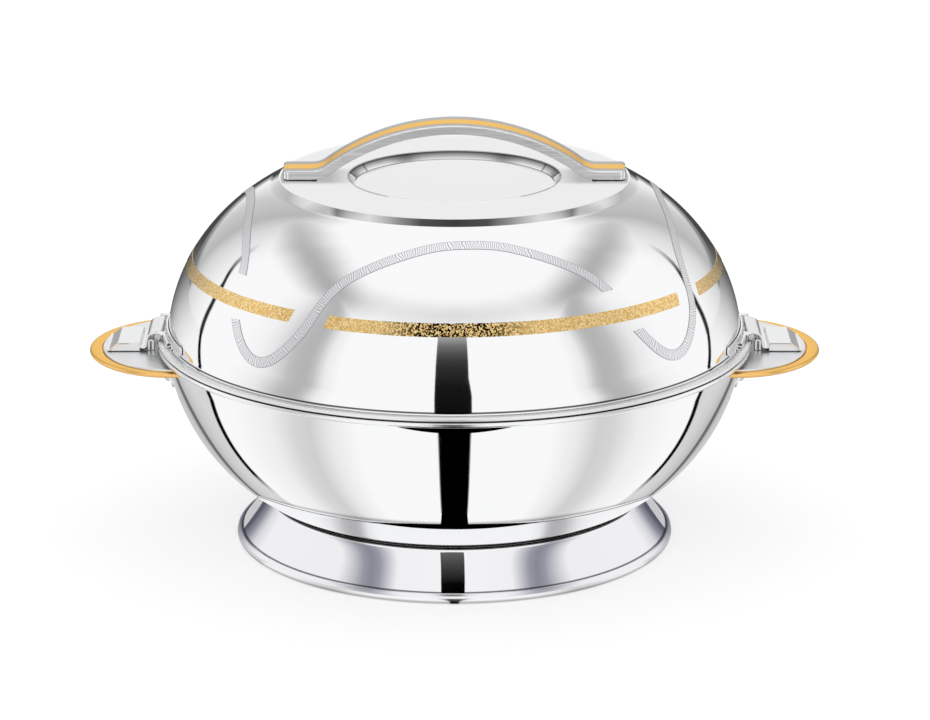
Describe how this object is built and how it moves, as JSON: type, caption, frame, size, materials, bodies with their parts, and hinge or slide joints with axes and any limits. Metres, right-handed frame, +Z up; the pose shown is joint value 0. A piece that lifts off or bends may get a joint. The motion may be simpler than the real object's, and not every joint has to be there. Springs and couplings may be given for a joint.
{
  "type": "insulated casserole",
  "caption": "Double-walled steel serving casserole with a flared foot, lift-off domed lid, arched handle, oval ears and snap latches.",
  "frame": {"origin": "centre of the flat underside of the foot ring, at the bottom of the bounding box", "axes": "+Z up, +X along the line of the two ears towards the right ear, +Y away from the viewer of the picture"},
  "size_m": [0.3926, 0.32, 0.2291],
  "materials": {
    "mirror_steel": "polished",
    "satin_steel": "satin",
    "gold_plating": "satin",
    "foam": "matte",
    "dark_plug": "matte"
  },
  "bodies": {
    "bowl": {"bowl_outer_shell": "mirror_steel", "bowl_inner_liner": "satin_steel", "bowl_insulation": "foam", "foot_ring": "mirror_steel", "foam_port_plug": "dark_plug", "left_ear_panel": "mirror_steel", "left_ear_trim": "gold_plating", "left_ear_bracket": "mirror_steel", "left_ear_rivet_front": "mirror_steel", "left_ear_rivet_rear": "mirror_steel", "left_latch_keeper": "mirror_steel", "right_ear_panel": "mirror_steel", "right_ear_trim": "gold_plating", "right_ear_bracket": "mirror_steel", "right_ear_rivet_front": "mirror_steel", "right_ear_rivet_rear": "mirror_steel", "right_latch_keeper": "mirror_steel"},
    "lid": {"lid_outer_shell": "mirror_steel", "lid_inner_liner": "satin_steel", "lid_insulation": "foam", "top_handle": "mirror_steel", "top_handle_inlay": "gold_plating", "left_handle_screw": "satin_steel", "left_handle_washer": "satin_steel", "left_hinge_bracket": "mirror_steel", "left_hinge_pin": "satin_steel", "right_handle_screw": "satin_steel", "right_handle_washer": "satin_steel", "right_hinge_bracket": "mirror_steel", "right_hinge_pin": "satin_steel"},
    "left_latch": {"left_latch_strap": "mirror_steel"},
    "right_latch": {"right_latch_strap": "mirror_steel"}
  },
  "joints": [
    {"name": "lid_lift", "type": "slide", "parent": "bowl", "child": "lid", "axis": [0, 0, 1], "range_m": [0, 0.12]},
    {"name": "left_latch_swing", "type": "hinge", "parent": "lid", "child": "left_latch", "pos_m": [-0.1581, 0, 0.11597], "axis": [0, 1, 0], "range_deg": [0, 100]},
    {"name": "right_latch_swing", "type": "hinge", "parent": "lid", "child": "right_latch", "pos_m": [0.1581, 0, 0.11597], "axis": [0, -1, 0], "range_deg": [0, 100]}
  ]
}
